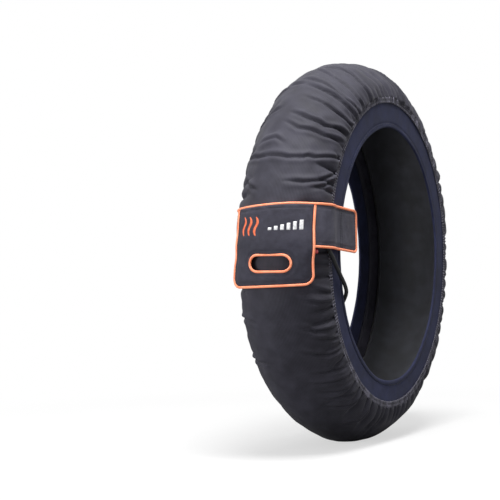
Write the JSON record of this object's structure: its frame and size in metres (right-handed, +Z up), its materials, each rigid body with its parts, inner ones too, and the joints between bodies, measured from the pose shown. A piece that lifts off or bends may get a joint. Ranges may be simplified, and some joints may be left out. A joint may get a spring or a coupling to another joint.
{
  "type": "motorcycle tire warmer",
  "caption": "Ring-shaped electric warmer that wraps a front motorcycle tyre, with gathered cover, neoprene side panels, closure strap, pull flap and supply cord.",
  "frame": {"origin": "centre of the wheel that the warmer is wrapped round", "axes": "+Y along the axle towards the far side panel, +Z up, the closure strap and pull flap on the front at -X"},
  "size_m": [0.6314, 0.2252, 0.621],
  "materials": {
    "nylon": "matte ribbed nylon",
    "neoprene": "matte knitted neoprene",
    "strap_cloth": "woven polyester",
    "piping": "satin piping",
    "felt": "needled felt",
    "element": "flat woven heating ribbon",
    "lining": "matte heat-spreading cloth",
    "hook_and_loop": "matte hook-and-loop tape",
    "lens": "clear red",
    "rubber": "moulded matte rubber",
    "cord_jacket": "satin rubber jacket",
    "pin_metal": "nickel plated"
  },
  "bodies": {
    "root": {"outer_cover": "nylon", "insulation_layer": "felt", "heating_element": "element", "inner_lining": "lining", "thermostat": "rubber", "near_side_panel": "neoprene", "near_gathered_hem": "nylon", "far_side_panel": "neoprene", "far_gathered_hem": "nylon", "closure_strap": "strap_cloth", "closure_strap_piping": "piping", "pull_flap": "strap_cloth", "pull_flap_piping": "piping", "finger_slot_piping": "piping", "panel_loop_pad": "hook_and_loop", "strap_hook_pad": "hook_and_loop", "lamp_bezel": "rubber", "indicator_lens": "lens", "cord_strain_relief": "rubber", "power_cord": "cord_jacket", "cord_coil": "cord_jacket", "cord_tie": "hook_and_loop", "plug_lead": "cord_jacket", "plug_strain_relief": "rubber", "plug_body": "rubber", "plug_pin_line": "pin_metal", "plug_pin_neutral": "pin_metal"}
  },
  "joints": []
}
